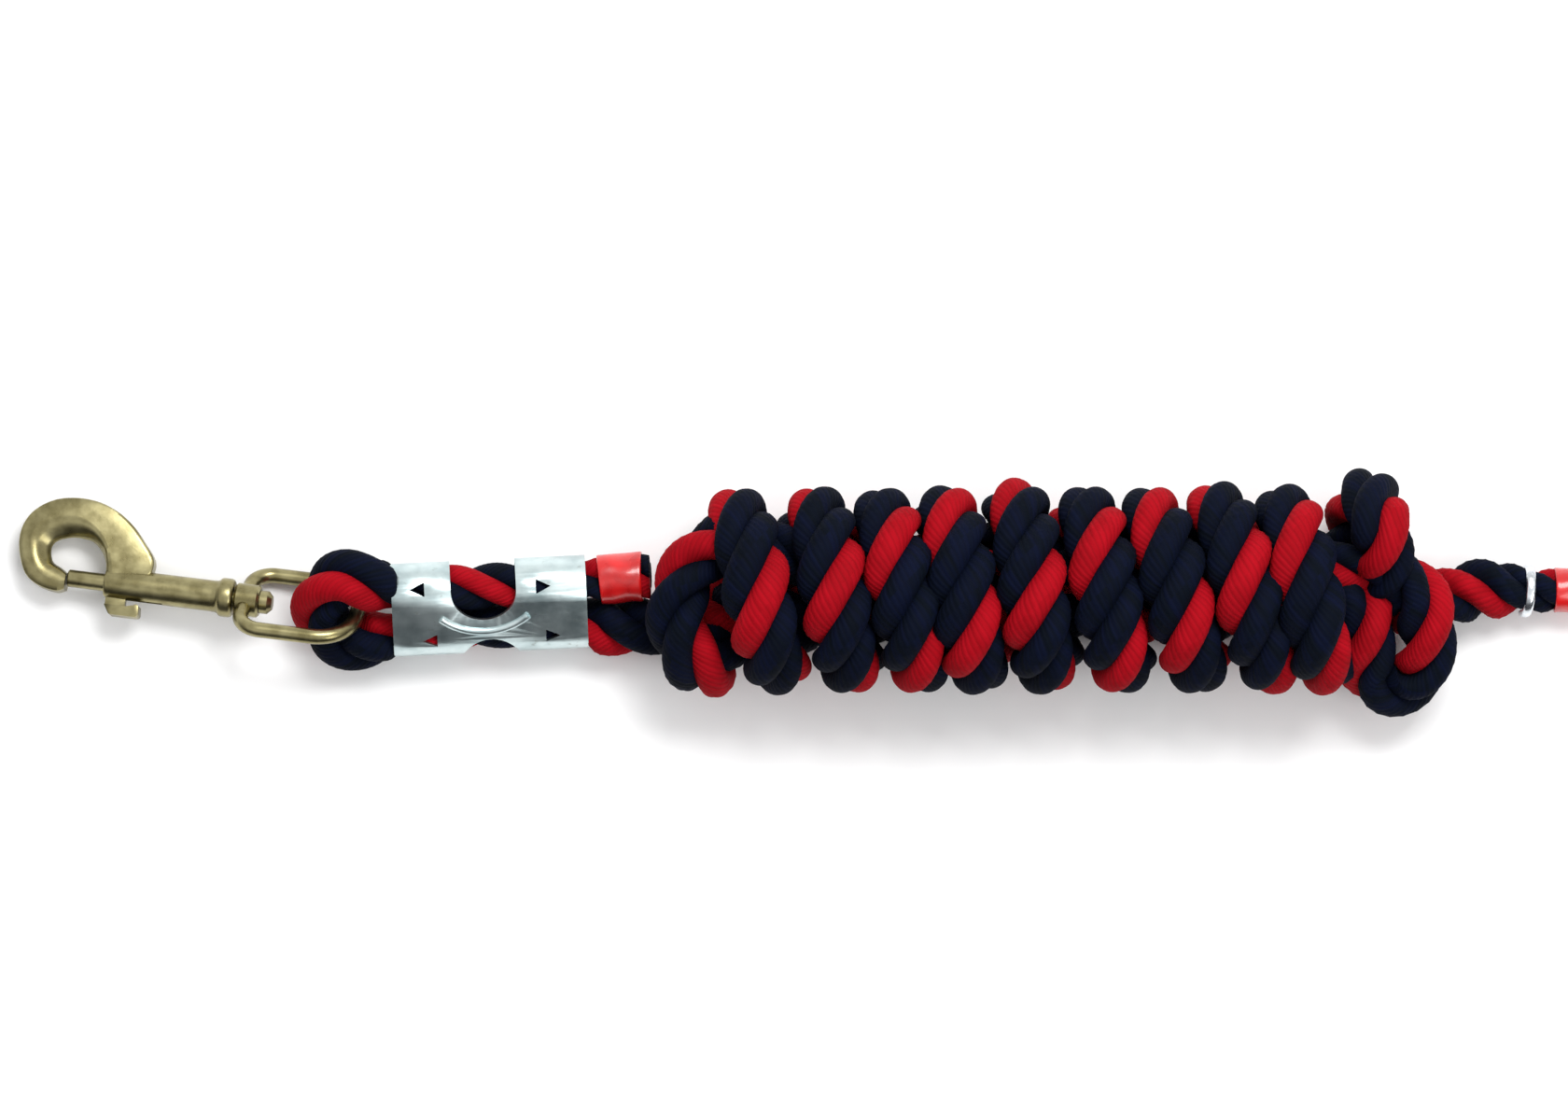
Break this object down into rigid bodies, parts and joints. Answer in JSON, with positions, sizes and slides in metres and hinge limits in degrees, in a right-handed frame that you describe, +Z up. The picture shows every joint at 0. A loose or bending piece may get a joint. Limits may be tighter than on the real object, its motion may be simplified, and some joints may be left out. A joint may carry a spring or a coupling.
{
  "type": "lead rope",
  "caption": "Laid cotton lead rope wound into a hank, with a bolt snap and its swivel eye held in a clamped loop.",
  "frame": {"origin": "middle of the whole object's footprint, on the table it lies on", "axes": "+X along the hank from the snap to the taped end, +Y towards the crown of the hook, +Z up"},
  "size_m": [0.4974, 0.0786, 0.0601],
  "materials": {
    "nickel": "nickel plate, slightly warm",
    "zinc_sheet": "zinc plated sheet",
    "spring_steel": "bare spring wire",
    "rope": "laid cotton, two navy strands and one red",
    "red_tape": "glossy adhesive tape",
    "ring_wire": "bright wire"
  },
  "bodies": {
    "rope": {"rope_clamp": "zinc_sheet", "rope_in_clamp": "rope", "rope_eye_loop": "rope", "rope_short_end": "rope", "short_end_tape": "red_tape", "rope_lead": "rope", "rope_hank": "rope", "rope_tail": "rope", "end_ring": "ring_wire", "far_end_tape": "red_tape"},
    "eye": {"swivel_eye": "nickel"},
    "snap": {"snap_body": "nickel", "swivel_stud": "nickel", "bolt_spring": "spring_steel"},
    "bolt": {"snap_bolt": "nickel"}
  },
  "joints": [
    {"name": "eye_swing", "type": "hinge", "parent": "rope", "child": "eye", "pos_m": [-0.1423, -0.00733, 0.01773], "axis": [-0.1549, -0.5589, 0.8147], "range_deg": [-90, 90]},
    {"name": "snap_swivel", "type": "hinge", "parent": "eye", "child": "snap", "pos_m": [-0.1808, -0.0026, 0.01365], "axis": [0.9871, -0.1212, 0.1045], "continuous": true},
    {"name": "bolt_slide", "type": "slide", "parent": "snap", "child": "bolt", "axis": [0.9871, -0.1212, 0.1045], "range_m": [0, 0.0115], "stiffness_N_per_m": 350, "springref_m": -0.012, "deforming": ["bolt_spring"]}
  ]
}
